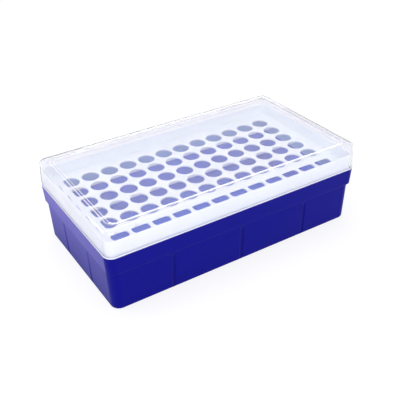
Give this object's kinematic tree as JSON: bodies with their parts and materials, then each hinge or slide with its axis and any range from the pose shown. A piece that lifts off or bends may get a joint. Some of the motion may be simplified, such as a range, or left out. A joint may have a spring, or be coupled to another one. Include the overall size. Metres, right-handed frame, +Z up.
{
  "type": "microcentrifuge tube rack",
  "caption": "Lidded storage box for microcentrifuge tubes: a dark blue tub, a white tray with a grid of round tube holes, and a translucent lift-off lid.",
  "frame": {"origin": "centre of the bounding box, on the table surface under the tub", "axes": "+X along the length, towards the right end as seen from the front; +Y across the width, towards the back; +Z up"},
  "size_m": [0.1924, 0.1064, 0.0598],
  "materials": {
    "blue_plastic": "satin",
    "white_plastic": "satin",
    "clear_plastic": "gloss"
  },
  "bodies": {
    "root": {"base_box": "blue_plastic", "tube_tray": "white_plastic", "lid": "clear_plastic"}
  },
  "joints": []
}
